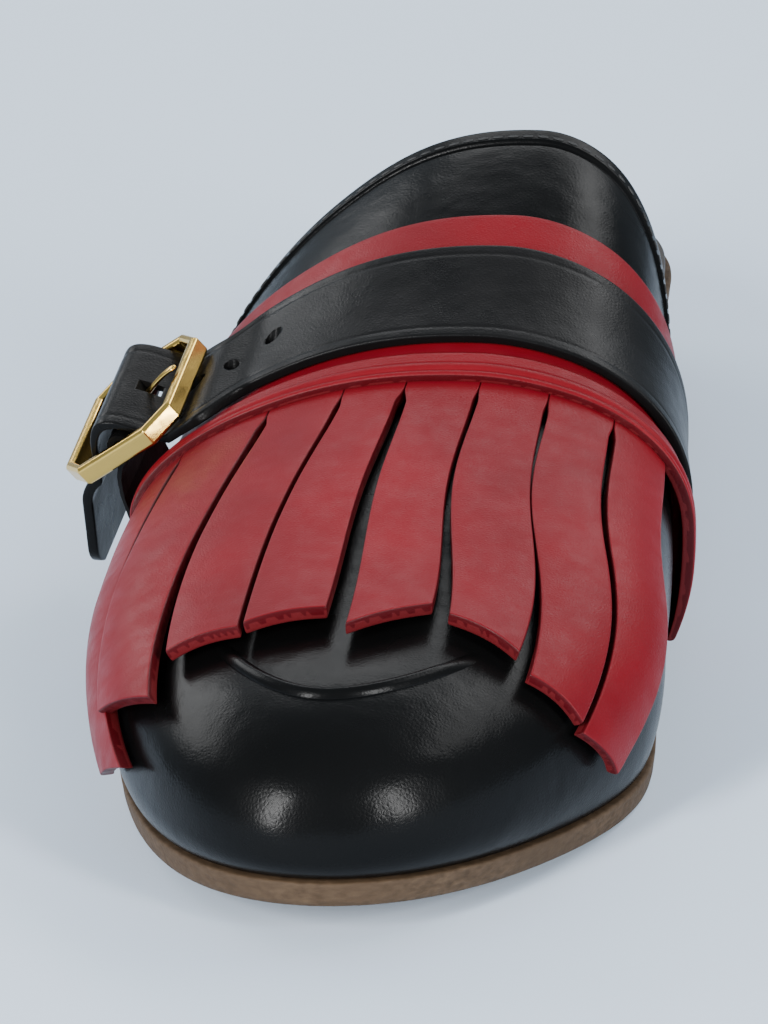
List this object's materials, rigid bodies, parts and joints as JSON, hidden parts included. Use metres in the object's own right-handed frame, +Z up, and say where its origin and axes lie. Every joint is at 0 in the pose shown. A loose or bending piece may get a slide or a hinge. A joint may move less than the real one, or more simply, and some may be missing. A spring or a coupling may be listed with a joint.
{
  "type": "fringed clog",
  "caption": "Backless leather clog on a low heel, with a glossy rounded toe, a cut fringe, a saddle band and a buckled strap over the instep.",
  "frame": {"origin": "on the floor under the middle of the shoe's box", "axes": "+Y from the toe to the heel, +X to the inner side of the foot, +Z up"},
  "size_m": [0.1066, 0.2516, 0.0688],
  "materials": {
    "sole_leather": "raw cut edge, matt",
    "heel_leather": "stacked lifts, waxed edge",
    "heel_rubber": "matt",
    "footbed": "smooth",
    "polished_black": "polished, high gloss",
    "red_leather": "brushed, low gloss, with painted edges",
    "strap_leather": "polished",
    "gold": "polished"
  },
  "bodies": {
    "root": {"outsole": "sole_leather", "heel": "heel_leather", "top_piece": "heel_rubber", "insole": "footbed", "upper": "polished_black", "saddle_band": "red_leather", "fringe": "red_leather", "strap": "strap_leather", "chape": "strap_leather", "buckle_frame": "gold", "buckle_prong": "gold"}
  },
  "joints": []
}
